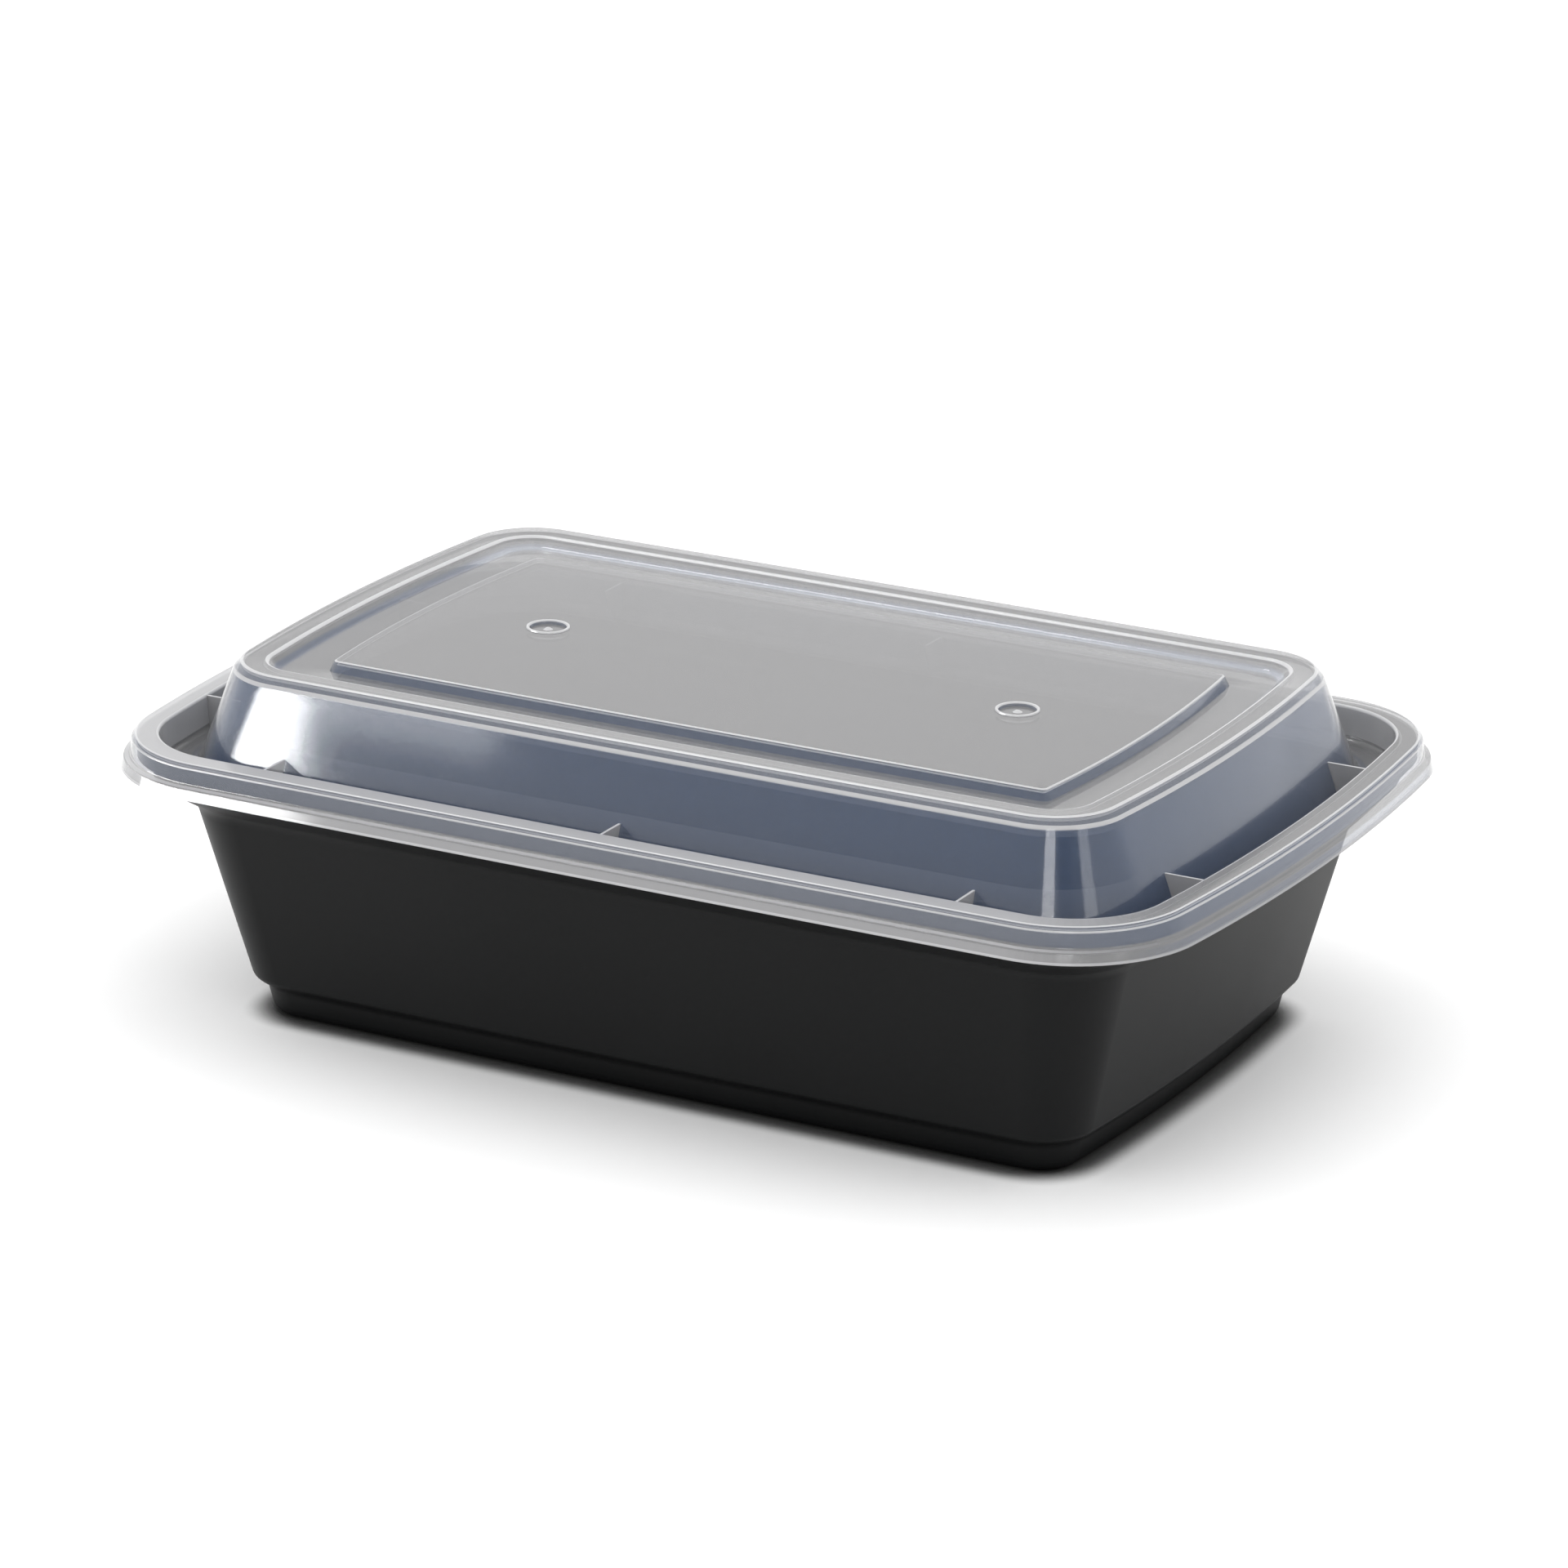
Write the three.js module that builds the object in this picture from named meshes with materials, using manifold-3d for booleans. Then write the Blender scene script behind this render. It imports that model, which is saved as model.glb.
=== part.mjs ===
// Takeaway meal container: a black tray with a clear domed lid snapped over its rim.
// Millimetres, +Z up, the long side along X, the origin at the middle of the underside.

import * as THREE from "three";
import { mergeVertices } from "three/addons/utils/BufferGeometryUtils.js";
import Module from "manifold-3d";

// Overall sizes, over the lip of the lid
const LENGTH = 222;
const WIDTH = 145.6;
const HEIGHT = 68.2;

// Sheet thicknesses, and the play between lid and tray
const TRAY_SHEET = 0.9;
const LID_SHEET = 0.7;
const PLAY = 0.3;

// How far each kind of side bows outward at its middle
const RIM_BOW = 2.55;
const DOME_BOW = 2.05;
const TRAY_BOW = 1.85;
const LONG_SIDE_BOW = 0.34;

// How much the half length exceeds the half width, without the bows
const LID_LEAD = (LENGTH - WIDTH) / 2 - RIM_BOW + LONG_SIDE_BOW;
const TRAY_LEAD = 34.3;

// Tray: a foot set in from the wall, then the tapered wall up to a sloping shoulder
const TAPER = 0.245;
const FOOT_REACH = 82.85;
const FOOT_CORNER = 7.4;
const FOOT_TOP = 5.7;
const WALL_BOTTOM = 7.5;
const WALL_SET_OUT = 1.82;
const WALL_TOP = 42.4;
const WALL_CORNER = 9.2;
const WALL_CORNER_GROWTH = 0.1325;
const SHOULDER_TOP = 46.5;

// Lid rim: a lip at the bottom, a ledge, a raised flat band and a gutter inside it
const LIP_REACH = LENGTH / 2 - RIM_BOW;
const LIP_CORNER = 25.2;
const LIP_BOTTOM = 48.95;
const LIP_TOP = 50.95;
const LEDGE_TOP = 51.3;
const RIM_TOP = 55.1;
const RIM_OUTER_INSET = 2.1;
const RIM_INNER_INSET = 7.15;
const GUTTER_FLOOR = 48.6;
const GUTTER_OUTER_INSET = 7.6;

// Lid dome: sloping wall, ridge round the top, groove and raised flat panel
const DOME_CORE = 76.15;
const DOME_REACH_AT_RIM = 94.5;
const DOME_WALL_TOP = 66.6;
const DOME_WALL_REACH = 90.2;
const RIDGE_OUTER = 88.7;
const RIDGE_INNER = 83.9;
const RIDGE_DIP = 0.3;
const GROOVE_OUTER = 82.4;
const GROOVE_INNER = 74.1;
const GROOVE_FLOOR = 65.3;
const GROOVE_RISE = 0.5;
const PANEL_REACH = 73.1;
const PANEL_TOP = 67.25;
const PANEL_CORNER = 1;
const PANEL_EDGE = 3;

// Thin webs across the gutter, and the two moulding gate marks on the panel
const WEB_THICKNESS = 0.8;
const WEB_SPACING_LONG = 70.3;
const WEB_OFFSET_SHORT = 34.3;
const WEB_TOP = 54.55;
const GATE_SPREAD = 49;
const GATE_RADIUS = 3.75;
const GATE_DEPTH = 0.45;

// How finely the round stretches are divided. A long side has an odd number of steps, so that
// no vertex falls at its middle, where a web stands.
const CORNER_STEPS = 7;
const SHORT_SIDE_STEPS = 6;
const LONG_SIDE_STEPS = 3;
const SEEN_FILLET_STEPS = 2;
const HIDDEN_FILLET_STEPS = 1;
const GATE_SIDES = 24;

const trayMaterial = new THREE.MeshStandardMaterial({ color: 0x1b1c1e, roughness: 0.42, metalness: 0 });
const lidMaterial = new THREE.MeshStandardMaterial({
  color: 0xdfe3e6, roughness: 0.3, metalness: 0, transparent: true, opacity: 0.45,
});

// An outline is a rectangle of four shallow arcs whose corners are rounded by "corner".
// "reach" is its half length and reach minus "lead" its half width, both without the bow.
function outline({ reach, z, corner, bow, lead }) {
  const coreX = reach - corner;
  const coreY = reach - lead - corner;
  const shortSide = shallowArc(coreY, bow);
  const longSide = shallowArc(coreX, LONG_SIDE_BOW);
  const quarter = [];
  for (let i = 0; i <= SHORT_SIDE_STEPS / 2; i += 1) {
    const angle = shortSide.angle * (2 * i / SHORT_SIDE_STEPS);
    const radius = shortSide.radius + corner;
    quarter.push([coreX + bow - shortSide.radius + radius * Math.cos(angle), radius * Math.sin(angle)]);
  }
  const sweep = Math.PI / 2 - longSide.angle - shortSide.angle;
  for (let i = 1; i < CORNER_STEPS; i += 1) {
    const angle = shortSide.angle + sweep * i / CORNER_STEPS;
    quarter.push([coreX + corner * Math.cos(angle), coreY + corner * Math.sin(angle)]);
  }
  for (let i = 0; i < LONG_SIDE_STEPS / 2; i += 1) {
    const angle = longSide.angle * (1 - 2 * i / LONG_SIDE_STEPS);
    const radius = longSide.radius + corner;
    quarter.push([radius * Math.sin(angle), coreY + LONG_SIDE_BOW - longSide.radius + radius * Math.cos(angle)]);
  }
  const mirrored = quarter.map(([x, y]) => [-x, y]).reverse();
  const upper = [...quarter, ...mirrored];
  const lower = upper.map(([x, y]) => [x, -y]).reverse().slice(1, -1);
  return [...upper, ...lower].map(([x, y]) => new THREE.Vector3(x, y, z));
}

// The radius and half angle of an arc with the given half chord and rise
function shallowArc(halfChord, rise) {
  const radius = (halfChord * halfChord + rise * rise) / (2 * rise);
  return { radius, angle: Math.asin(halfChord / radius) };
}

// One point of a profile: where the sheet is, and the outline that it has there
function point(reach, z, corner, bow, lead, fillet) {
  return { reach, z, corner, bow, lead, fillet };
}

function footPoint(reach, z, fillet) {
  return point(reach, z, FOOT_CORNER + reach - FOOT_REACH, TRAY_BOW, TRAY_LEAD, fillet);
}

function wallPoint(z, fillet) {
  const reach = FOOT_REACH + WALL_SET_OUT + TAPER * z;
  return point(reach, z, WALL_CORNER + WALL_CORNER_GROWTH * z, TRAY_BOW, TRAY_LEAD, fillet);
}

function rimPoint(inset, z, fillet) {
  return point(LIP_REACH - inset, z, LIP_CORNER - inset, RIM_BOW, LID_LEAD, fillet);
}

function domePoint(reach, z, fillet) {
  return point(reach, z, reach - DOME_CORE, DOME_BOW, LID_LEAD, fillet);
}

function panelPoint(reach, z, fillet) {
  return point(reach, z, PANEL_CORNER + reach - PANEL_REACH, DOME_BOW, LID_LEAD, fillet);
}

function blend(a, b, share) {
  const mixed = {};
  for (const key of ["reach", "z", "corner", "bow", "lead"]) {
    mixed[key] = a[key] + (b[key] - a[key]) * share;
  }
  return mixed;
}

function spacing(a, b) {
  return Math.hypot(b.reach - a.reach, b.z - a.z);
}

// The other face of a sheet: the same profile, moved sideways by the thickness
function otherFace(profile, thickness) {
  return profile.map((here, i) => {
    const normals = [];
    if (i > 0) normals.push(sideways(profile[i - 1], here));
    if (i < profile.length - 1) normals.push(sideways(here, profile[i + 1]));
    const first = normals[0];
    const last = normals[normals.length - 1];
    const scale = thickness / (1 + first.reach * last.reach + first.z * last.z);
    const shift = (first.reach + last.reach) * scale;
    const moved = { ...here, reach: here.reach + shift, z: here.z + (first.z + last.z) * scale };
    moved.corner = here.corner + shift;
    return moved;
  });
}

function sideways(a, b) {
  const length = spacing(a, b);
  return { reach: -(b.z - a.z) / length, z: (b.reach - a.reach) / length };
}

// Rounds each turn of a profile whose point has a fillet
function rounded(profile, steps) {
  return profile.flatMap((here, i) => {
    if (!here.fillet) return [here];
    const before = profile[i - 1];
    const after = profile[i + 1];
    const start = blend(here, before, here.fillet / spacing(here, before));
    const end = blend(here, after, here.fillet / spacing(here, after));
    const turn = [];
    for (let step = 0; step <= steps; step += 1) {
      const share = step / steps;
      turn.push(blend(blend(start, here, share), blend(here, end, share), share));
    }
    return turn;
  });
}

// A closed shell from a row of outlines: underside from the middle out, then the top side back in
function shell(underside, topSide) {
  const rings = [...underside, ...[...topSide].reverse()].map(outline);
  const around = rings[0].length;
  const positions = rings.flat();
  const triangles = [];
  for (let ring = 0; ring < rings.length - 1; ring += 1) {
    for (let i = 0; i < around; i += 1) {
      const a = ring * around + i;
      const b = ring * around + (i + 1) % around;
      triangles.push(a, b, a + around, b, b + around, a + around);
    }
  }
  const lastRing = (rings.length - 1) * around;
  const lowMiddle = positions.push(new THREE.Vector3(0, 0, rings[0][0].z)) - 1;
  const highMiddle = positions.push(new THREE.Vector3(0, 0, rings[rings.length - 1][0].z)) - 1;
  for (let i = 0; i < around; i += 1) {
    const next = (i + 1) % around;
    triangles.push(lowMiddle, next, i);
    triangles.push(highMiddle, lastRing + i, lastRing + next);
  }
  const geometry = new THREE.BufferGeometry().setFromPoints(positions);
  geometry.setIndex(triangles);
  return geometry;
}

const wasm = await Module();
wasm.setup();

function toSolid(geometry) {
  const bare = geometry.clone();
  bare.deleteAttribute("normal");
  bare.deleteAttribute("uv");
  const merged = mergeVertices(bare, 1e-4);
  return new wasm.Manifold(new wasm.Mesh({
    numProp: 3,
    vertProperties: new Float32Array(merged.attributes.position.array),
    triVerts: new Uint32Array(merged.index.array),
  }));
}

function toGeometry(solid) {
  const mesh = solid.getMesh();
  const geometry = new THREE.BufferGeometry();
  geometry.setAttribute("position", new THREE.BufferAttribute(new Float32Array(mesh.vertProperties), 3));
  geometry.setIndex(new THREE.BufferAttribute(new Uint32Array(mesh.triVerts), 1));
  return geometry;
}

// Tray: the underside profile runs from the base, up the wall, over the shoulder and down the rolled rim
function trayGeometry() {
  const innerFaceInset = RIM_INNER_INSET - LID_SHEET - PLAY;
  const rolledTop = RIM_TOP - LID_SHEET - PLAY - TRAY_SHEET;
  const rolledOuterInset = RIM_OUTER_INSET + LID_SHEET + PLAY + TRAY_SHEET;
  const profile = [
    footPoint(FOOT_REACH - 5, 0, 0),
    footPoint(FOOT_REACH, 0, 2.2),
    footPoint(FOOT_REACH + TAPER * FOOT_TOP, FOOT_TOP, 0.8),
    wallPoint(WALL_BOTTOM, 0.8),
    wallPoint(WALL_TOP, 1.8),
    rimPoint(innerFaceInset - TRAY_SHEET + 0.8, SHOULDER_TOP, 1),
    rimPoint(innerFaceInset - TRAY_SHEET, rolledTop, 0.5),
    rimPoint(rolledOuterInset, rolledTop, 0.5),
    rimPoint(rolledOuterInset - 0.05, LIP_TOP + 0.1, 0),
  ];
  const inside = otherFace(profile, TRAY_SHEET);
  return shell(rounded(profile, SEEN_FILLET_STEPS), rounded(inside, HIDDEN_FILLET_STEPS));
}

// Reach of the dome wall at a height, along the straight slope between its top and the gutter
function domeWallReach(z) {
  const slope = (DOME_REACH_AT_RIM - DOME_WALL_REACH) / (DOME_WALL_TOP - RIM_TOP);
  return DOME_WALL_REACH + slope * (DOME_WALL_TOP - z);
}

function lidShell() {
  const topSide = [
    { ...panelPoint(PANEL_REACH, PANEL_TOP, 0), reach: PANEL_REACH - PANEL_EDGE },
    panelPoint(PANEL_REACH, PANEL_TOP, 0.4),
    panelPoint(GROOVE_INNER, GROOVE_FLOOR, 0.7),
    domePoint(GROOVE_OUTER, GROOVE_FLOOR + GROOVE_RISE, 0.9),
    domePoint(RIDGE_INNER, HEIGHT - RIDGE_DIP, 0.3),
    domePoint(RIDGE_OUTER, HEIGHT, 0.5),
    domePoint(DOME_WALL_REACH, DOME_WALL_TOP, 0.9),
    domePoint(domeWallReach(GUTTER_FLOOR), GUTTER_FLOOR, 1),
    rimPoint(GUTTER_OUTER_INSET, GUTTER_FLOOR, 1),
    rimPoint(RIM_INNER_INSET, RIM_TOP, 0.9),
    rimPoint(RIM_OUTER_INSET, RIM_TOP, 0.8),
    rimPoint(RIM_OUTER_INSET - 0.35, LEDGE_TOP, 0.3),
    rimPoint(0.5, LIP_TOP, 0.35),
    rimPoint(0, LIP_BOTTOM, 0),
  ];
  const underside = otherFace(topSide, -LID_SHEET);
  return shell(rounded(underside, HIDDEN_FILLET_STEPS), rounded(topSide, SEEN_FILLET_STEPS));
}

// How far a bowed side stands out from its straight reach, at a place along it
function standOut(bow, halfChord, along) {
  const arc = shallowArc(halfChord, bow);
  return bow - arc.radius + Math.sqrt(arc.radius * arc.radius - along * along);
}

// A web: an upright plate across the gutter, whose ends are buried in the sheets on both sides
function webGeometry(lead, domeStandOut, rimStandOut) {
  const half = LID_SHEET / 2;
  const domeAt = (z) => domeWallReach(z) - lead + domeStandOut - half;
  const rimAt = (inset) => LIP_REACH - inset - lead + rimStandOut + half;
  const plate = new THREE.Shape([
    new THREE.Vector2(domeAt(GUTTER_FLOOR - half), GUTTER_FLOOR - half),
    new THREE.Vector2(rimAt(GUTTER_OUTER_INSET), GUTTER_FLOOR - half),
    new THREE.Vector2(rimAt(RIM_INNER_INSET), WEB_TOP),
    new THREE.Vector2(domeAt(WEB_TOP), WEB_TOP),
  ]);
  const geometry = new THREE.ExtrudeGeometry(plate, { depth: WEB_THICKNESS, bevelEnabled: false });
  geometry.translate(0, 0, -WEB_THICKNESS / 2);
  geometry.rotateX(Math.PI / 2);
  return geometry;
}

// Webs stand at three places along each long side and two along each short side
function webs() {
  const placed = [];
  const rimCore = LIP_REACH - LIP_CORNER;
  for (const along of [-WEB_SPACING_LONG, 0, WEB_SPACING_LONG]) {
    const domeOut = standOut(LONG_SIDE_BOW, DOME_CORE, along);
    const rimOut = standOut(LONG_SIDE_BOW, rimCore, along);
    for (const turn of [Math.PI / 2, -Math.PI / 2]) {
      const web = webGeometry(LID_LEAD, domeOut, rimOut).rotateZ(turn);
      placed.push(web.translate(along, 0, 0));
    }
  }
  for (const along of [-WEB_OFFSET_SHORT, WEB_OFFSET_SHORT]) {
    const domeOut = standOut(DOME_BOW, DOME_CORE - LID_LEAD, along);
    const rimOut = standOut(RIM_BOW, rimCore - LID_LEAD, along);
    for (const turn of [0, Math.PI]) {
      const web = webGeometry(0, domeOut, rimOut).rotateZ(turn);
      placed.push(web.translate(0, along, 0));
    }
  }
  return placed;
}

// A closed body of revolution about Z, from its profile of [radius, height] pairs
function turned(profile) {
  const points = profile.map(([radius, height]) => new THREE.Vector2(radius, height));
  return new THREE.LatheGeometry(points, GATE_SIDES).rotateX(Math.PI / 2);
}

// The thickening under a gate mark
function gateBoss() {
  const low = PANEL_TOP - LID_SHEET - GATE_DEPTH;
  const high = PANEL_TOP - LID_SHEET / 2;
  const radius = GATE_RADIUS + LID_SHEET;
  return turned([[0, low], [radius - GATE_DEPTH, low], [radius, low + GATE_DEPTH], [radius, high], [0, high]]);
}

// The round recess of a gate mark, with the small cone left standing in its middle
function gateRecess() {
  const floor = PANEL_TOP - GATE_DEPTH;
  return turned([
    [0, PANEL_TOP - 0.05],
    [0.35, PANEL_TOP - 0.1],
    [0.9, floor],
    [GATE_RADIUS - 0.25, floor],
    [GATE_RADIUS, PANEL_TOP + 0.1],
    [0, PANEL_TOP + 0.1],
  ]);
}

function lidGeometry() {
  let solid = toSolid(lidShell());
  for (const web of webs()) {
    solid = solid.add(toSolid(web));
  }
  for (const x of [-GATE_SPREAD, GATE_SPREAD]) {
    solid = solid.add(toSolid(gateBoss().translate(x, 0, 0)));
    solid = solid.subtract(toSolid(gateRecess().translate(x, 0, 0)));
  }
  return toGeometry(solid);
}

function piece(name, geometry, material) {
  const mesh = new THREE.Mesh(geometry, material);
  mesh.name = name;
  return mesh;
}

const container = new THREE.Group();
container.add(piece("tray", trayGeometry(), trayMaterial));
container.add(piece("lid", lidGeometry(), lidMaterial));

export default container;
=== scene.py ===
"""A takeaway meal container: a black tray with a see-through domed lid snapped over its rim."""
import math
from dataclasses import dataclass, replace

import bmesh
import bpy
from bpy.props import FloatProperty, FloatVectorProperty, PointerProperty
from mathutils import Matrix, Vector


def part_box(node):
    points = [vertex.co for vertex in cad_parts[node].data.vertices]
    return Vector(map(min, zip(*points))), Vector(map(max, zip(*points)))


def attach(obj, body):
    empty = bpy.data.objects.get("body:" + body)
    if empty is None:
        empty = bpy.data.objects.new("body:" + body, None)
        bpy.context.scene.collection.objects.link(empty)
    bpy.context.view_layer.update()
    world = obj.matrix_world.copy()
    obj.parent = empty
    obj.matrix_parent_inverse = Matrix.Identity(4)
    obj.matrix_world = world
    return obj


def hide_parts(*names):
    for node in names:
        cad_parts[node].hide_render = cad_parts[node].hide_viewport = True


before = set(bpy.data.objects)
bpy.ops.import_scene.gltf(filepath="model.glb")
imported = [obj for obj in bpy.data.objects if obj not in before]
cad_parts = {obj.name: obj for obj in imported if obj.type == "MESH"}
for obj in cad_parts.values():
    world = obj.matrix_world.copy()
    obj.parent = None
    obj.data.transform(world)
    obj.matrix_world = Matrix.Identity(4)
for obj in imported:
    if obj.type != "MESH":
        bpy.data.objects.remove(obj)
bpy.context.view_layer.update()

bl_info = {
    "name": "Takeaway meal container",
    "version": (1, 0, 0),
    "blender": (4, 5, 0),
    "location": "View3D > Sidebar > Meal container",
    "description": "Dresses the tray and the lid of a takeaway meal container and sets up the studio",
    "category": "Object",
}

MM = 0.001

# The frame's own sizes: the lid's lip is the widest part and its ridge the highest
LID_LOW, LID_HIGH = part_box("lid")
LENGTH = LID_HIGH.x - LID_LOW.x
WIDTH = LID_HIGH.y - LID_LOW.y
HEIGHT = LID_HIGH.z
LIP_BOTTOM = 48.95 * MM

# Play between the lid and the tray
PLAY = 0.3 * MM

# How far each kind of side bows outward at its middle
RIM_BOW = 2.55 * MM
DOME_BOW = 2.05 * MM
TRAY_BOW = 1.85 * MM
LONG_SIDE_BOW = 0.34 * MM

# How much the half length exceeds the half width, without the bows
LID_LEAD = (LENGTH - WIDTH) / 2 - RIM_BOW + LONG_SIDE_BOW
TRAY_LEAD = 34.3 * MM

# Tray
TAPER = 0.245
FOOT_REACH = 82.85 * MM
FOOT_CORNER = 7.4 * MM
FOOT_TOP = 5.7 * MM
FOOT_FILLET = 2.2 * MM
STEP_FILLET = 0.8 * MM
BASE_EDGE = 9 * MM
WALL_BOTTOM = 7.5 * MM
WALL_SET_OUT = 1.82 * MM
WALL_TOP = 42.4 * MM
WALL_CORNER = 9.2 * MM
WALL_CORNER_GROWTH = 0.1325
WALL_FILLET = 1.8 * MM
SHOULDER_TOP = 46.5 * MM
SHOULDER_FILLET = 1 * MM
SHOULDER_OVERHANG = 0.8 * MM
ROLL_FILLET = 0.5 * MM
ROLL_DRAFT = 0.05 * MM
ROLL_CLEARANCE = 0.1 * MM

# Lid rim
LIP_REACH = LENGTH / 2 - RIM_BOW
LIP_CORNER = 25.2 * MM
LIP_TOP = 50.95 * MM
LIP_DRAFT = 0.5 * MM
BRIM = 0.45 * MM
RIM_BEVEL = 0.75 * MM
LEDGE_TOP = 51.3 * MM
RIM_TOP = 55.1 * MM
RIM_OUTER_INSET = 2.1 * MM
RIM_INNER_INSET = 7.15 * MM
RIM_INNER_FILLET = 0.5 * MM
RIM_FILLET = 0.2 * MM
LEDGE_FILLET = 0.3 * MM
SKIRT_DRAFT = 0.35 * MM
GUTTER_FLOOR = 48.6 * MM
GUTTER_OUTER_INSET = 7.6 * MM
GUTTER_FILLET = 1 * MM

# Lid dome
DOME_CORE = 76.15 * MM
DOME_REACH_AT_RIM = 94.5 * MM
DOME_WALL_TOP = 66.6 * MM
DOME_WALL_REACH = 90.2 * MM
DOME_WALL_FILLET = 0.4 * MM
WALL_FADE = 1.5 * MM
RIDGE_OUTER = 88.7 * MM
RIDGE_OUTER_FILLET = 0.35 * MM
RIDGE_INNER = 83.9 * MM
RIDGE_INNER_FILLET = 0.45 * MM
RIDGE_DIP = 0.3 * MM
GROOVE_OUTER = 82.4 * MM
GROOVE_FILLET = 0.9 * MM
GROOVE_INNER = 74.1 * MM
GROOVE_FLOOR = 65.3 * MM
GROOVE_RISE = 0.5 * MM
PANEL_REACH = 73.1 * MM
PANEL_TOP = 67.25 * MM
PANEL_CORNER = 1 * MM
PANEL_FILLET = 0.23 * MM
PANEL_EDGE = 3 * MM

# Webs across the gutter, and the gate marks on the panel
WEB_THICKNESS = 0.5 * MM
WEB_SPACING_LONG = 70.3 * MM
WEB_OFFSET_SHORT = 34.3 * MM
WEB_TOP = 54.9 * MM
GATE_SPREAD = 49 * MM
GATE_RADIUS = 3.75 * MM
GATE_DEPTH = 0.45 * MM
GATE_BEAD = 0.45 * MM
GATE_SLOPE = 0.25 * MM
CONE_FOOT = 0.9 * MM
CONE_SHOULDER = 0.35 * MM
CONE_DIP = 0.05 * MM

# How milky a stretch of the lid looks: clear on the dome's walls, milky on the flats and round
# the rim, and pale where the plastic turns an edge, which is a painted highlight along its fillets and cut
# edges
CLEAR = 0.0
FAINT = 0.14
SOFT = 0.25
HAZY = 0.35
MILKY = 0.5
BANDED = 0.68
EDGE = 0.85
PALE = 1.0

# How finely the round stretches are divided
CORNER_STEPS = 22
SHORT_SIDE_STEPS = 24
LONG_SIDE_STEPS = 16
FILLET_STEPS = 5
GATE_SIDES = 72
SHARP_ANGLE = math.radians(32)

# Noise in the finishes, in waves to the metre, and how far it moves a colour, a gloss or the haze
TRAY_CLOUDS = 28
LID_CLOUDS = 35
WORN_GAIN = 1.5
GLOSS_SWING = 0.05
HAZE_SWING = 0.02

# The ripple in the lid's gloss
RIPPLE_WAVES = 90
RIPPLE_HEIGHT = 0.05 * MM
RIPPLE_STRENGTH = 0.04

# The camera, fitted to the outlines that the photograph shows
CAMERA_DISTANCE = 1297.4 * MM
CAMERA_TARGET = Vector((1.42 * MM, -0.28 * MM, 44.97 * MM))
CAMERA_ROLL = math.radians(0.459)
SENSOR = 36

FLOOR_RADIUS = 4
FLOOR_SIDES = 96

# How much of its surroundings the table must see to start and to end its painted contact shadow, and the
# shadow's tone there
CONTACT_SHARES = (0.42, 0.85)
CONTACT_TONE = 0.04
CONTACT_SAMPLES = 8

# The regions of the sky that the studio dims: the azimuth and elevation of the middle of each, and the
# radii at which it starts and stops fading, all in degrees
SKY_BEHIND = (208, 32, 20, 60)
SKY_IN_FRONT = (10, 20, 31, 43)
SKY_BESIDE = (95, 25, 20, 65)
SKY_PATCH = (48, 20, 10, 17)


@dataclass
class Box:
    """A softbox: the point that it faces, the way to it, and its size, tilt and radiance."""

    target: tuple
    azimuth: float
    elevation: float
    distance: float
    size: tuple
    radiance: float
    offset: tuple = (0.0, 0.0)
    roll: float = 0.0


@dataclass
class Station:
    """A point of a profile: where the sheet is there, and the outline that it follows round the container.

    "pale" is how pale the sheet is from here to the next point: its milkiness, with painted light added along
    the front and left sides;
    "line" is how pale its fillet is painted, a painted highlight; and "far" is how pale the sheet is along the
    right and back sides where that differs, painted darker there as painted shade.
    """

    reach: float
    z: float
    corner: float
    bow: float
    lead: float
    fillet: float = 0.0
    pale: float = CLEAR
    line: float = CLEAR
    far: float | None = None

    def tone(self, near):
        """How pale the sheet is painted, from its tone along the right and back sides at 0 to its tone along
        the others at 1: painted shade on the right and back, painted light on the front and left.
        """
        far = self.pale if self.far is None else self.far
        return far + (self.pale - far) * near

    def towards(self, other, share):
        """The station at a share of the way to another one, with this one's fillet and tones."""
        names = ("reach", "z", "corner", "bow", "lead")
        mixed = {n: getattr(self, n) + (getattr(other, n) - getattr(self, n)) * share for n in names}
        return replace(self, **mixed)

    def spacing(self, other):
        """The distance to another station, measured across the sheet's section."""
        return math.hypot(other.reach - self.reach, other.z - self.z)


def shallow_arc(half_chord, rise):
    """The radius and half angle of an arc with the given half chord and rise."""
    radius = (half_chord * half_chord + rise * rise) / (2 * rise)
    return radius, math.asin(half_chord / radius)


def outline(at):
    """The ring of points at a station: four shallow arcs joined by round corners."""
    core_x = at.reach - at.corner
    core_y = at.reach - at.lead - at.corner
    short_radius, short_angle = shallow_arc(core_y, at.bow)
    long_radius, long_angle = shallow_arc(core_x, LONG_SIDE_BOW)
    quarter = []
    for i in range(SHORT_SIDE_STEPS // 2 + 1):
        angle = short_angle * 2 * i / SHORT_SIDE_STEPS
        radius = short_radius + at.corner
        middle = core_x + at.bow - short_radius
        quarter.append((middle + radius * math.cos(angle), radius * math.sin(angle)))
    sweep = math.pi / 2 - long_angle - short_angle
    for i in range(1, CORNER_STEPS):
        angle = short_angle + sweep * i / CORNER_STEPS
        quarter.append((core_x + at.corner * math.cos(angle), core_y + at.corner * math.sin(angle)))
    for i in range(LONG_SIDE_STEPS // 2 + 1):
        angle = long_angle * (1 - 2 * i / LONG_SIDE_STEPS)
        radius = long_radius + at.corner
        middle = core_y + LONG_SIDE_BOW - long_radius
        quarter.append((radius * math.sin(angle), middle + radius * math.cos(angle)))
    upper = quarter + [(-x, y) for x, y in reversed(quarter[:-1])]
    lower = [(x, -y) for x, y in reversed(upper[1:-1])]
    return [(x, y, at.z) for x, y in upper + lower]


def foot(reach, z, fillet=0.0):
    return Station(reach, z, FOOT_CORNER + reach - FOOT_REACH, TRAY_BOW, TRAY_LEAD, fillet)


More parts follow.
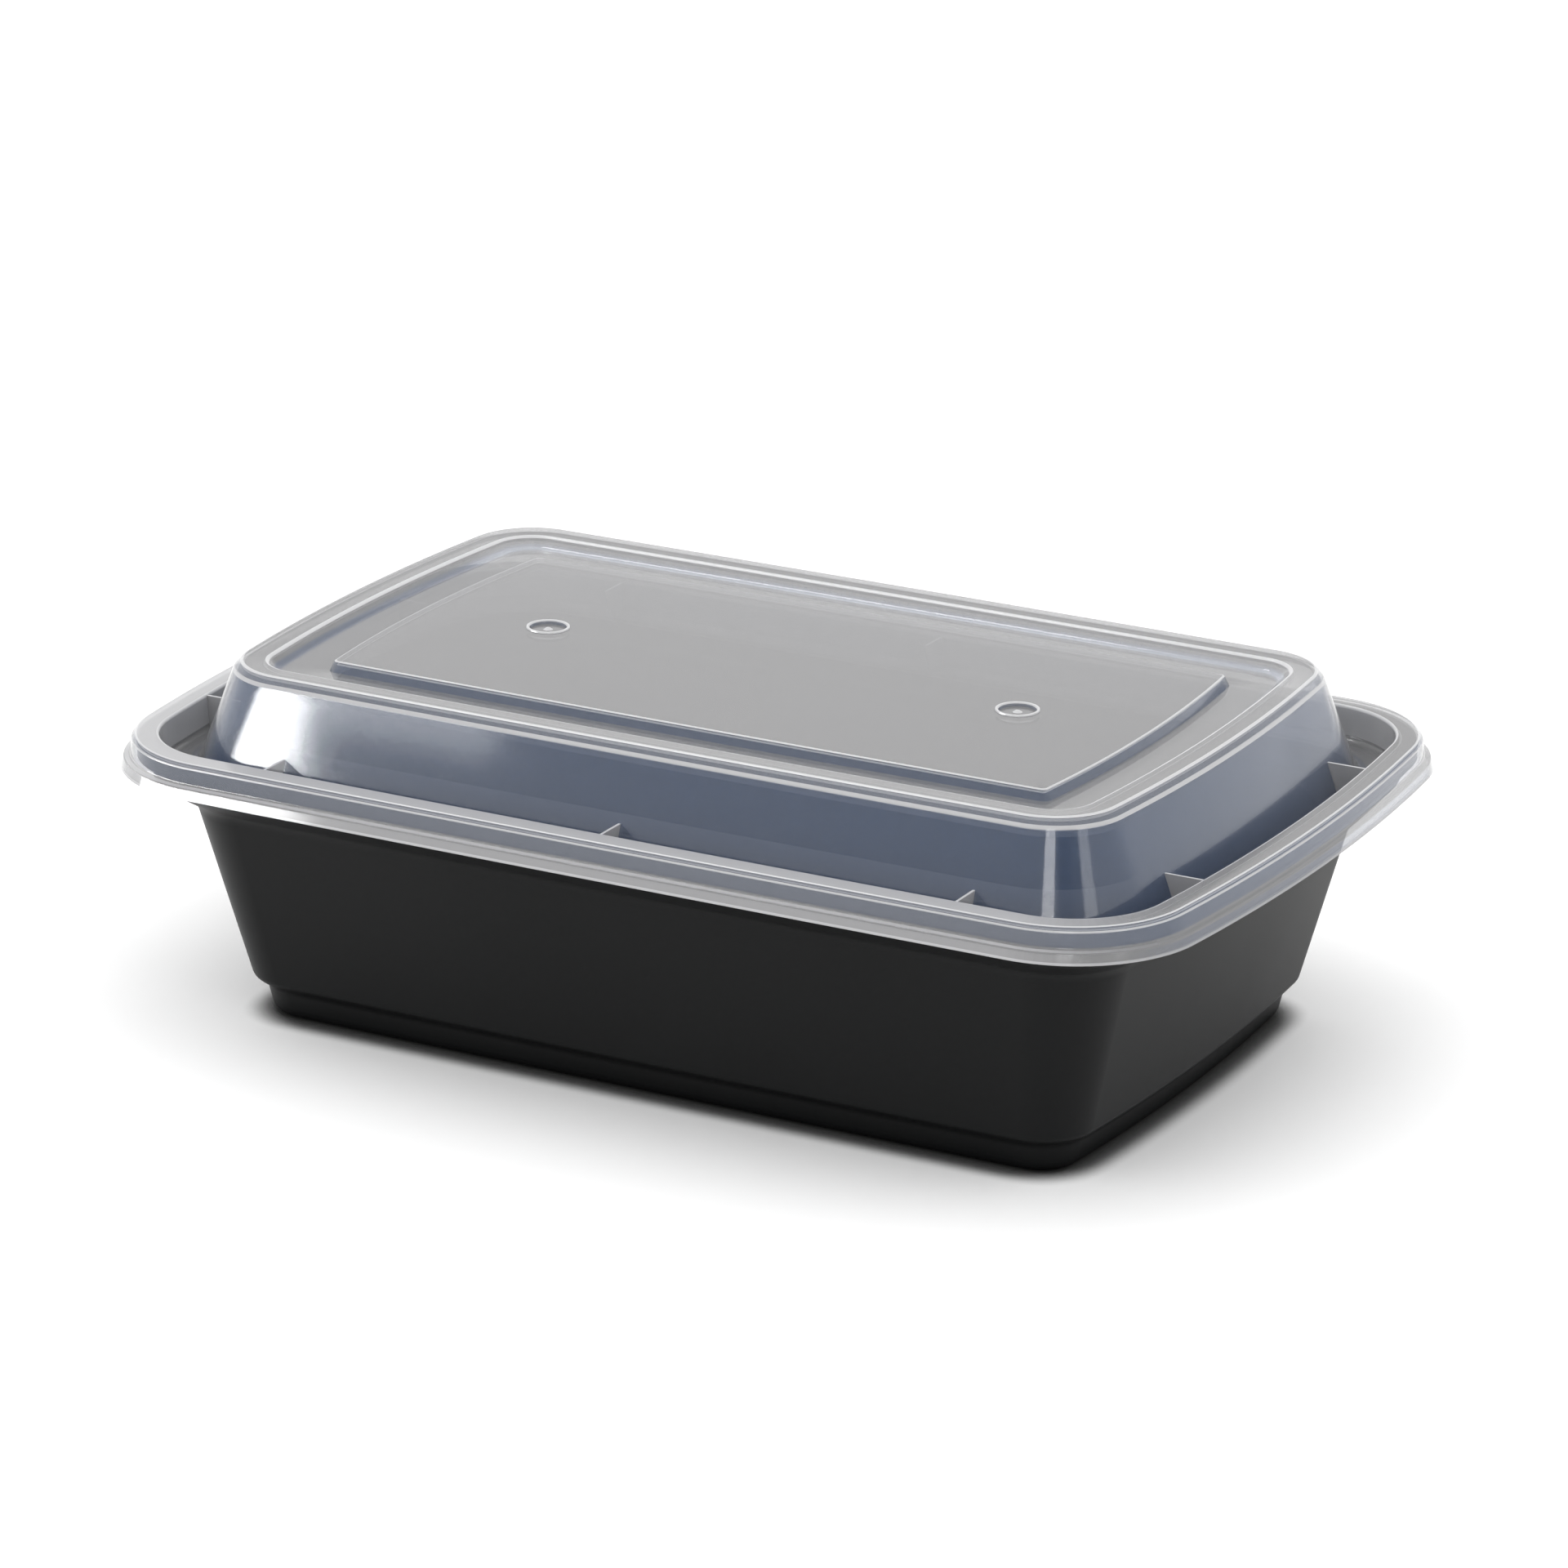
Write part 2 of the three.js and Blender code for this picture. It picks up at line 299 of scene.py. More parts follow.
def wall(z, fillet=0.0):
    reach = FOOT_REACH + WALL_SET_OUT + TAPER * z
    return Station(reach, z, WALL_CORNER + WALL_CORNER_GROWTH * z, TRAY_BOW, TRAY_LEAD, fillet)


def rim(inset, z, fillet=0.0, pale=CLEAR, line=CLEAR, far=None):
    return Station(LIP_REACH - inset, z, LIP_CORNER - inset, RIM_BOW, LID_LEAD, fillet, pale, line, far)


def dome(reach, z, fillet=0.0, pale=CLEAR, line=CLEAR):
    return Station(reach, z, reach - DOME_CORE, DOME_BOW, LID_LEAD, fillet, pale, line)


def panel(reach, z, fillet=0.0, pale=CLEAR, line=CLEAR):
    corner = PANEL_CORNER + reach - PANEL_REACH
    return Station(reach, z, corner, DOME_BOW, LID_LEAD, fillet, pale, line)


def sideways(a, b):
    """The unit step to the left of the way from one station to the next, as (reach, z)."""
    length = a.spacing(b)
    return -(b.z - a.z) / length, (b.reach - a.reach) / length


def other_face(profile, thickness):
    """The other face of a sheet: the same profile, moved sideways by the thickness."""
    moved = []
    for i, here in enumerate(profile):
        normals = []
        if i > 0:
            normals.append(sideways(profile[i - 1], here))
        if i < len(profile) - 1:
            normals.append(sideways(here, profile[i + 1]))
        first, last = normals[0], normals[-1]
        scale = thickness / (1 + first[0] * last[0] + first[1] * last[1])
        shift = (first[0] + last[0]) * scale
        rise = (first[1] + last[1]) * scale
        moved.append(replace(here, reach=here.reach + shift, z=here.z + rise, corner=here.corner + shift))
    return moved


def rounded(profile):
    """Rounds each turn of a profile whose station has a fillet."""
    stations = []
    for i, here in enumerate(profile):
        if not here.fillet:
            stations.append(here)
            continue
        before, after = profile[i - 1], profile[i + 1]
        start = here.towards(before, here.fillet / here.spacing(before))
        end = here.towards(after, here.fillet / here.spacing(after))
        for step in range(FILLET_STEPS + 1):
            share = step / FILLET_STEPS
            turn = start.towards(here, share).towards(here.towards(end, share), share)
            # Each fillet takes its station's line tone on every side: a painted highlight along the turn
            stations.append(replace(turn, pale=here.line, far=None) if step < FILLET_STEPS else turn)
    return stations


def nearness(a, b):
    """1 for a step of a ring along the front and left sides, and 0 along the right and back ones: how much of
    the painted light of the front and left sides the tone there gets.
    """
    outward = Vector((b[1] - a[1], a[0] - b[0])).normalized()
    return min(1, max(0, (1 - outward.x - outward.y) / 2))


def shell(name, underside, top_side):
    """A closed shell: its underside from the middle out, then its top side back in."""
    rings = [outline(at) for at in underside + top_side[::-1]]
    around = len(rings[0])
    points = [point for ring in rings for point in ring]
    faces = []
    for ring in range(len(rings) - 1):
        for i in range(around):
            a = ring * around + i
            b = ring * around + (i + 1) % around
            faces.append((a, b, b + around, a + around))
    faces.append(tuple(reversed(range(around))))
    last_ring = (len(rings) - 1) * around
    faces.append(tuple(range(last_ring, last_ring + around)))
    # Each face's tone is painted paler along the front and left sides, where the light falls, than along the
    # right and back sides, which get painted shade
    near = [nearness(a, b) for a, b in zip(rings[0], rings[0][1:] + rings[0][:1])]
    pale = [at.tone(side) for at in underside + top_side[-2::-1] for side in near]
    pale += [underside[0].pale, top_side[0].pale]
    return solid(name, points, faces, pale)


def solid(name, points, faces, pale=None):
    """A mesh object, with how milky each face looks in the attribute "pale"."""
    mesh = bpy.data.meshes.new(name)
    mesh.from_pydata(points, [], faces)
    if pale:
        mesh.attributes.new("pale", "FLOAT", "FACE").data.foreach_set("value", pale)
    made = bpy.data.objects.new(name, mesh)
    bpy.context.scene.collection.objects.link(made)
    return made


def prism(name, outline_points, depth, place):
    """A closed plate from an outline in its own plane, set in place by a matrix."""
    count = len(outline_points)
    points = [place @ Vector((x, -depth / 2, z)) for x, z in outline_points]
    points += [place @ Vector((x, depth / 2, z)) for x, z in outline_points]
    faces = [tuple(range(count)), tuple(reversed(range(count, 2 * count)))]
    for i in range(count):
        nxt = (i + 1) % count
        faces.append((nxt, i, i + count, nxt + count))
    # The plates are banded milky; their edge faces are painted pale, a painted highlight along the web's edges
    return solid(name, points, faces, [BANDED, BANDED] + [PALE] * count)


def turned(name, profile, place):
    """A body of revolution about Z from its (radius, z, pale) points, which start and end on the axis."""
    points = [place @ Vector((0, 0, profile[0][1]))]
    for radius, z, _ in profile[1:-1]:
        for i in range(GATE_SIDES):
            angle = 2 * math.pi * i / GATE_SIDES
            points.append(place @ Vector((radius * math.cos(angle), radius * math.sin(angle), z)))
    points.append(place @ Vector((0, 0, profile[-1][1])))
    last = len(points) - 1
    faces = []
    pale = [at[2] for at in profile[:-1]] * GATE_SIDES
    for i in range(GATE_SIDES):
        nxt = (i + 1) % GATE_SIDES
        faces.append((0, 1 + nxt, 1 + i))
        for ring in range(len(profile) - 3):
            low = 1 + ring * GATE_SIDES
            faces.append((low + i, low + nxt, low + nxt + GATE_SIDES, low + i + GATE_SIDES))
        top = 1 + (len(profile) - 3) * GATE_SIDES
        faces.append((top + i, top + nxt, last))
    return solid(name, points, faces, pale)


def combine(target, tools, operation):
    """Joins the tools to the target, or cuts them out of it, and removes them."""
    for tool in tools:
        modifier = target.modifiers.new(operation.lower(), "BOOLEAN")
        modifier.operation = operation
        modifier.solver = "EXACT"
        modifier.object = tool
    settle(target)
    if not target.data.polygons:
        raise RuntimeError(f"nothing is left of {target.name} after the {operation.lower()}")
    for tool in tools:
        bpy.data.objects.remove(tool)


def settle(target):
    """Applies every modifier of an object."""
    graph = bpy.context.evaluated_depsgraph_get()
    graph.update()
    mesh = bpy.data.meshes.new_from_object(target.evaluated_get(graph))
    target.modifiers.clear()
    target.data = mesh


def smooth(target):
    """Smooth shading that stays crisp at hard edges and even beside the fillets."""
    shape = bmesh.new()
    shape.from_mesh(target.data)
    bmesh.ops.recalc_face_normals(shape, faces=shape.faces)
    for face in shape.faces:
        face.smooth = True
    for edge in shape.edges:
        edge.smooth = edge.calc_face_angle(math.pi) < SHARP_ANGLE
    shape.to_mesh(target.data)
    shape.free()
    weighting = target.modifiers.new("even shading", "WEIGHTED_NORMAL")
    weighting.keep_sharp = True


class Value:
    """A shader socket that arithmetic extends with Math nodes."""

    def __init__(self, finish, socket):
        self.finish = finish
        self.socket = socket

    def join(self, operation, first, second):
        node = self.finish.node("ShaderNodeMath", {"operation": operation}, {0: first, 1: second})
        return Value(self.finish, node.outputs[0])

    def __add__(self, other):
        return self.join("ADD", self, other)

    def __radd__(self, other):
        return self.join("ADD", other, self)

    def __sub__(self, other):
        return self.join("SUBTRACT", self, other)

    def __rsub__(self, other):
        return self.join("SUBTRACT", other, self)

    def __mul__(self, other):
        return self.join("MULTIPLY", self, other)

    def __rmul__(self, other):
        return self.join("MULTIPLY", other, self)

    def __pow__(self, other):
        return self.join("POWER", self, other)

    def at_least(self, other):
        return self.join("MAXIMUM", self, other)


class Finish:
    """The nodes of a material or a world under construction."""

    def __init__(self, owner):
        self.owner = owner
        owner.use_nodes = True
        self.tree = owner.node_tree
        self.tree.nodes.clear()

    def node(self, kind, settings, sockets):
        made = self.tree.nodes.new(kind)
        for name, value in settings.items():
            setattr(made, name, value)
        for name, value in sockets.items():
            if isinstance(value, Value):
                self.tree.links.new(value.socket, made.inputs[name])
            else:
                made.inputs[name].default_value = value
        return made

    def value(self, kind, settings, sockets, output):
        return Value(self, self.node(kind, settings, sockets).outputs[output])

    def place(self):
        return self.value("ShaderNodeTexCoord", {}, {}, "Object")

    def noise(self, scale, detail=3.0, roughness=0.5):
        """Smooth noise from 0 to 1, with so many waves to the metre."""
        sockets = {"Vector": self.place(), "Scale": scale, "Detail": detail, "Roughness": roughness}
        return self.value("ShaderNodeTexNoise", {}, sockets, "Fac")

    def bump(self, height, distance, strength):
        sockets = {"Height": height, "Distance": distance, "Strength": strength}
        return self.value("ShaderNodeBump", {}, sockets, "Normal")

    def mixed_colour(self, share, first, second):
        """A colour between two: the Mix node takes colours in its inputs 6 and 7 and gives one in output 2."""
        sockets = {0: share, 6: first, 7: second}
        return self.value("ShaderNodeMix", {"data_type": "RGBA"}, sockets, 2)

    def mixed_shader(self, share, first, second):
        return self.value("ShaderNodeMixShader", {}, {0: share, 1: first, 2: second}, 0)

    def ramp(self, value, low, high):
        """Rises smoothly from 0 to 1 while the value goes from low to high."""
        sockets = {"Value": value, "From Min": low, "From Max": high}
        return self.value("ShaderNodeMapRange", {"interpolation_type": "SMOOTHSTEP"}, sockets, "Result")

    def done(self, surface, output="ShaderNodeOutputMaterial"):
        self.node(output, {}, {"Surface": surface})
        return self.owner


def black_plastic(settings):
    """Satin black plastic, with a little unevenness in its colour and its gloss."""
    finish = Finish(bpy.data.materials.new("black_plastic"))
    cloud = finish.noise(TRAY_CLOUDS)
    base = tuple(settings.colour)
    worn = tuple(c * WORN_GAIN for c in base)
    surface = finish.value("ShaderNodeBsdfPrincipled", {}, {
        "Base Color": finish.mixed_colour(cloud, (*base, 1), (*worn, 1)),
        "Roughness": settings.roughness + GLOSS_SWING * (cloud - 0.5),
        "Specular IOR Level": 0.13,
        "IOR": 1.49,
    }, 0)
    return finish.done(surface)


def clear_plastic(settings):
    """See-through plastic with a gloss, bluish where it is clear, grey half way and white where it is pale,
    which along its edges is painted highlight and along the front and left sides painted light.
    """
    finish = Finish(bpy.data.materials.new("clear_plastic"))
    facing = finish.value("ShaderNodeLayerWeight", {}, {"Blend": 0.5}, "Facing")
    # The stored paleness is the sheet's milkiness plus painted highlights along its edges and painted light
    # along its front and left sides
    stored = finish.value("ShaderNodeAttribute", {"attribute_name": "pale"}, {}, "Fac")
    pale = (settings.grazing * facing ** 2).at_least(stored)
    cloud = finish.noise(LID_CLOUDS, 4, 0.6)
    haze = settings.haze + settings.milk * pale + HAZE_SWING * (cloud - 0.5)
    grey = finish.mixed_colour(2 * pale, (*settings.clear_colour, 1), (*settings.milky_colour, 1))
    colour = finish.mixed_colour(2 * pale - 1, grey, (*settings.pale_colour, 1))
    film = finish.value("ShaderNodeBsdfTransparent", {}, {"Color": (1, 1, 1, 1)}, 0)
    milk = finish.value("ShaderNodeBsdfPrincipled", {}, {
        "Base Color": colour,
        "Roughness": 0.6,
        "Specular IOR Level": 0.0,
    }, 0)
    ripple = finish.bump(finish.noise(RIPPLE_WAVES, 1), RIPPLE_HEIGHT, RIPPLE_STRENGTH)
    gloss = finish.value("ShaderNodeBsdfAnisotropic", {}, {
        "Color": (1, 1, 1, 1),
        "Roughness": settings.roughness,
        "Normal": ripple,
    }, 0)
    shine = settings.shine + (1 - settings.shine) * facing ** 5
    surface = finish.mixed_shader(shine, finish.mixed_shader(haze, film, milk), gloss)
    return finish.done(surface)


def pale_floor(settings):
    """The studio's plain white table, with a contact shadow painted into its colour where something stands
    close over it.
    """
    finish = Finish(bpy.data.materials.new("pale_floor"))
    # Painted shadow: the table's colour darkens towards the dark tone where ambient occlusion finds something
    # close over it
    near = {"Distance": settings.contact}
    seen = finish.value("ShaderNodeAmbientOcclusion", {"samples": CONTACT_SAMPLES}, near, "AO")
    dark = tuple(CONTACT_TONE * c for c in settings.floor_colour)
    away = finish.ramp(seen, *CONTACT_SHARES)
    surface = finish.value("ShaderNodeBsdfPrincipled", {}, {
        "Base Color": finish.mixed_colour(away, (*dark, 1), (*settings.floor_colour, 1)),
        "Roughness": 0.9,
        "Specular IOR Level": 0.0,
    }, 0)
    return finish.done(surface)


def dress(piece, material, node):
    """Gives a piece its material and lets it stand for its CAD node."""
    piece.data.materials.clear()
    piece.data.materials.append(material)
    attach(piece, "root")
    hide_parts(node)


def tray_profile(lid_sheet, sheet):
    """The tray's outer face, from its base up the wall, over the shoulder and down the rolled rim."""
    inner_face = RIM_INNER_INSET - lid_sheet - PLAY - sheet
    rolled_top = RIM_TOP - lid_sheet - PLAY - sheet
    rolled_outer = RIM_OUTER_INSET + lid_sheet + PLAY + sheet
    return [
        foot(FOOT_REACH - BASE_EDGE / 2, 0),
        foot(FOOT_REACH, 0, FOOT_FILLET),
        foot(FOOT_REACH + TAPER * FOOT_TOP, FOOT_TOP, STEP_FILLET),
        wall(WALL_BOTTOM, STEP_FILLET),
        wall(WALL_TOP, WALL_FILLET),
        rim(inner_face + SHOULDER_OVERHANG, SHOULDER_TOP, SHOULDER_FILLET),
        rim(inner_face, rolled_top, ROLL_FILLET),
        rim(rolled_outer, rolled_top, ROLL_FILLET),
        rim(rolled_outer - ROLL_DRAFT, LIP_TOP + ROLL_CLEARANCE),
    ]


def dome_wall_reach(z):
    """Reach of the dome wall at a height, along the straight slope from its top to the gutter."""
    slope = (DOME_REACH_AT_RIM - DOME_WALL_REACH) / (DOME_WALL_TOP - RIM_TOP)
    return DOME_WALL_REACH + slope * (DOME_WALL_TOP - z)


def lid_profile():
    """The lid's outer face, from inside the panel over the ridge and down to the lip."""
    brim = LIP_DRAFT * BRIM / (LIP_TOP - LIP_BOTTOM)
    bevel_draft = SKIRT_DRAFT * RIM_BEVEL / (RIM_TOP - LEDGE_TOP)
    wall_high = DOME_WALL_TOP - WALL_FADE
    wall_low = RIM_TOP + WALL_FADE
    # Each station gives its stretch's paleness, its fillet's painted highlight and, where listed, a darker
    # tone for the right and back sides: painted shade against painted light on the front and left
    return [
        replace(panel(PANEL_REACH, PANEL_TOP, pale=MILKY), reach=PANEL_REACH - PANEL_EDGE),
        panel(PANEL_REACH, PANEL_TOP, PANEL_FILLET, FAINT, PALE),
        panel(GROOVE_INNER, GROOVE_FLOOR, pale=MILKY),
        dome(GROOVE_OUTER, GROOVE_FLOOR + GROOVE_RISE, GROOVE_FILLET, MILKY, SOFT),
        dome(RIDGE_INNER, HEIGHT - RIDGE_DIP, RIDGE_INNER_FILLET, MILKY, PALE),
        dome(RIDGE_OUTER, HEIGHT, RIDGE_OUTER_FILLET, HAZY, PALE),
        dome(DOME_WALL_REACH, DOME_WALL_TOP, DOME_WALL_FILLET, FAINT, EDGE),
        dome(dome_wall_reach(wall_high), wall_high),
        dome(dome_wall_reach(wall_low), wall_low, pale=FAINT),
        dome(dome_wall_reach(GUTTER_FLOOR), GUTTER_FLOOR, GUTTER_FILLET, MILKY, SOFT),
        rim(GUTTER_OUTER_INSET, GUTTER_FLOOR, GUTTER_FILLET, EDGE, MILKY),
        rim(RIM_INNER_INSET, RIM_TOP, RIM_INNER_FILLET, EDGE, PALE, MILKY),
        rim(RIM_OUTER_INSET + RIM_BEVEL, RIM_TOP, RIM_FILLET, HAZY, PALE, SOFT),
        rim(RIM_OUTER_INSET - bevel_draft, RIM_TOP - RIM_BEVEL, RIM_FILLET, HAZY, EDGE, SOFT),
        rim(RIM_OUTER_INSET - SKIRT_DRAFT, LEDGE_TOP, LEDGE_FILLET, EDGE, MILKY, MILKY),
        rim(LIP_DRAFT, LIP_TOP, RIM_FILLET, BANDED, MILKY, HAZY),
        rim(brim, LIP_BOTTOM + BRIM, pale=EDGE, far=BANDED),
        rim(0, LIP_BOTTOM, pale=EDGE, far=BANDED),
    ]


def stand_out(bow, half_chord, along):
    """How far a bowed side stands out from its straight reach, at a place along it."""
    radius, _ = shallow_arc(half_chord, bow)
    return bow - radius + math.sqrt(radius * radius - along * along)


def web(sheet, lead, dome_out, rim_out, place):
    """An upright plate across the gutter, whose ends are buried in the sheets on both sides."""
    half = sheet / 2

    def dome_at(z):
        return dome_wall_reach(z) - lead + dome_out - half

    def rim_at(inset):
        return LIP_REACH - inset - lead + rim_out + half

    plate = [
        (dome_at(GUTTER_FLOOR - half), GUTTER_FLOOR - half),
        (rim_at(GUTTER_OUTER_INSET), GUTTER_FLOOR - half),
        (rim_at(RIM_INNER_INSET), WEB_TOP),
        (dome_at(WEB_TOP), WEB_TOP),
    ]
    return prism("web", plate, WEB_THICKNESS, place)


def webs(sheet):
    """Three webs along each long side and two along each short side."""
    placed = []
    rim_core = LIP_REACH - LIP_CORNER
    for along in (-WEB_SPACING_LONG, 0, WEB_SPACING_LONG):
        dome_out = stand_out(LONG_SIDE_BOW, DOME_CORE, along)
        rim_out = stand_out(LONG_SIDE_BOW, rim_core, along)
        for turn in (90, -90):
            place = Matrix.Translation((along, 0, 0)) @ Matrix.Rotation(math.radians(turn), 4, "Z")
            placed.append(web(sheet, LID_LEAD, dome_out, rim_out, place))
    for along in (-WEB_OFFSET_SHORT, WEB_OFFSET_SHORT):
        dome_out = stand_out(DOME_BOW, DOME_CORE - LID_LEAD, along)
        rim_out = stand_out(RIM_BOW, rim_core - LID_LEAD, along)
        for turn in (0, 180):
            place = Matrix.Translation((0, along, 0)) @ Matrix.Rotation(math.radians(turn), 4, "Z")
            placed.append(web(sheet, 0, dome_out, rim_out, place))
    return placed


def gate_boss(sheet, place):
    """The thickening under a gate mark."""
    low = PANEL_TOP - sheet - GATE_DEPTH
    high = PANEL_TOP - sheet / 2
    radius = GATE_RADIUS + sheet
    edge = radius - GATE_DEPTH
    bead = GATE_RADIUS + GATE_BEAD
    return turned("gate_boss", [
        (0, low, MILKY),
        (edge, low, MILKY),
        (radius, low + GATE_DEPTH, MILKY),
        (radius, high, PALE),
        (bead, high, PALE),
        (bead - GATE_BEAD / 3, PANEL_TOP + GATE_BEAD / 2, PALE),
        (0, PANEL_TOP + GATE_BEAD / 2, PALE),
    ], place)


def gate_recess(place):
    """The round recess of a gate mark, with the small cone left standing in its middle."""
    floor = PANEL_TOP - GATE_DEPTH
    above = PANEL_TOP + GATE_BEAD
    return turned("gate_recess", [
        (0, PANEL_TOP - CONE_DIP, PALE),
        (CONE_SHOULDER, PANEL_TOP - 2 * CONE_DIP, PALE),
        (CONE_FOOT, floor, MILKY),
        (GATE_RADIUS - 2 * GATE_SLOPE, floor, CLEAR),
        (GATE_RADIUS - GATE_SLOPE, PANEL_TOP, PALE),
        (GATE_RADIUS, above, PALE),
        (0, above, PALE),
    ], place)


def heading(azimuth, elevation):
    """The unit vector to a direction given in radians, the azimuth counted from -Y towards +X."""
    level = math.cos(elevation)
    return Vector((math.sin(azimuth) * level, -math.cos(azimuth) * level, math.sin(elevation)))


def turn_from(out, roll=0.0):
    """The turn of a camera or a lamp that looks against "out": its own right, up and back."""
    right = Vector((0, 0, 1)).cross(out).normalized()
    up = out.cross(right)
    across = right * math.cos(roll) + up * math.sin(roll)
    return Matrix((across, out.cross(across), out)).transposed()


def camera_pose(azimuth, elevation):
    """The camera's place and turn, from the direction in which it looks at its target."""
    out = heading(azimuth, elevation)
    return Matrix.Translation(CAMERA_TARGET + out * CAMERA_DISTANCE) @ turn_from(out, CAMERA_ROLL).to_4x4()


def softbox(name, box):
    """A rectangular lamp that shows in the gloss only: it lights no matt surface and isn't seen itself."""
    lamp = bpy.data.lights.new(name, "AREA")
    lamp.shape = "RECTANGLE"
    lamp.size, lamp.size_y = box.size
    lamp.energy = box.radiance * math.pi * lamp.size * lamp.size_y
    made = bpy.data.objects.new(name, lamp)
    bpy.context.scene.collection.objects.link(made)
    out = heading(math.radians(box.azimuth), math.radians(box.elevation))
    place = Vector(box.target) + out * box.distance + turn_from(out) @ Vector((*box.offset, 0))
    made.matrix_world = Matrix.Translation(place) @ turn_from(out, math.radians(box.roll)).to_4x4()
    made.visible_camera = False
    made.visible_diffuse = False
    made.visible_transmission = False
    return made


def surroundings(settings):
    """An even white sky, dimmer behind, in front and beside, with a dark patch next to the camera."""
    finish = Finish(bpy.data.worlds.new("surroundings"))
    way = finish.value("ShaderNodeTexCoord", {}, {}, "Generated")

    def dimmed(share, region):
        azimuth, elevation, inner, outer = (math.radians(angle) for angle in region)
        sockets = {0: way, 1: heading(azimuth, elevation)}
        level = finish.value("ShaderNodeVectorMath", {"operation": "DOT_PRODUCT"}, sockets, "Value")
        return 1 - share * finish.ramp(level, math.cos(outer), math.cos(inner))

    ends = dimmed(settings.behind, SKY_BEHIND) * dimmed(settings.front, SKY_IN_FRONT)
    sides = dimmed(settings.side, SKY_BESIDE) * dimmed(settings.patch, SKY_PATCH)
    sky = {"Color": (1, 1, 1, 1), "Strength": settings.sky * ends * sides}
    return finish.done(finish.value("ShaderNodeBackground", {}, sky, 0), "ShaderNodeOutputWorld")


# The softboxes: a glare and a glow at the left end of the dome, two streaks down its near corner, and a
# light line along the upper edges
CORNER_LEFT = (-80 * MM, -55 * MM, 60 * MM)
CORNER_NEAR = (85 * MM, -60 * MM, 60 * MM)
MIDDLE = (0, 0, 60 * MM)
SOFTBOXES = {
    "left_box": Box(CORNER_LEFT, -52, 10, 0.35, (0.344, 0.12), 24, (-0.018, -0.052), 21.7),
    "left_glow": Box(CORNER_LEFT, -52, 10, 0.35, (0.062, 0.04), 4, (0.143, 0.074), 14.8),
    "front_strip": Box(CORNER_NEAR, 23, 21, 0.5, (0.11, 0.25), 5),
    "side_strip": Box(CORNER_NEAR, 70, 19, 0.5, (0.12, 0.25), 1.8),
    "top_box": Box(MIDDLE, -95, 62, 1.2, (0.3, 0.25), 10),
}


class TrayProperties(bpy.types.PropertyGroup):
    sheet: FloatProperty(
        name="Sheet", description="Thickness of the tray's sheet",
        default=0.9 * MM, min=0.3 * MM, max=1.2 * MM, precision=5, unit="LENGTH",
    )
    colour: FloatVectorProperty(
        name="Colour", description="Colour of the black plastic",
        default=(0.0032, 0.0034, 0.0036), min=0, max=1, size=3, subtype="COLOR",
    )
    roughness: FloatProperty(
        name="Roughness", description="How dull the black plastic is",
        default=0.42, min=0, max=1, subtype="FACTOR",
    )


class LidProperties(bpy.types.PropertyGroup):
    sheet: FloatProperty(
        name="Sheet", description="Thickness of the lid's sheet",
        default=0.7 * MM, min=0.3 * MM, max=0.9 * MM, precision=5, unit="LENGTH",
    )
    clear_colour: FloatVectorProperty(
        name="Clear colour", description="Colour of the haze on the dome's walls",
        default=(0.09, 0.15, 0.29), min=0, max=1, size=3, subtype="COLOR",
    )
    milky_colour: FloatVectorProperty(
        name="Milky colour", description="Colour of the haze on the flats and round the rim",
        default=(0.23, 0.23, 0.235), min=0, max=1, size=3, subtype="COLOR",
    )
    # The whitest colour of the lid: that of the painted highlights along the edges, and of the webs
    pale_colour: FloatVectorProperty(
        name="Pale colour", description="Colour of the haze along the edges and in the webs",
        default=(0.55, 0.55, 0.56), min=0, max=1, size=3, subtype="COLOR",
    )
    haze: FloatProperty(
        name="Haze", description="Share of light that each clear face scatters",
        default=0.16, min=0, max=1, subtype="FACTOR",
    )
    milk: FloatProperty(
        name="Milk", description="What is added to the haze where the plastic is palest",
        default=0.68, min=0, max=1, subtype="FACTOR",
    )
    grazing: FloatProperty(
        name="Grazing milk", description="How milky a clear face looks when it is seen edge on",
        default=0.7, min=0, max=1, subtype="FACTOR",
    )
    shine: FloatProperty(
        name="Shine", description="Share of light that each face mirrors, seen square on",
        default=0.03, min=0, max=1, subtype="FACTOR",
    )
    roughness: FloatProperty(
        name="Roughness", description="How blurred the reflections in the clear plastic are",
        default=0.08, min=0, max=1, subtype="FACTOR",
    )


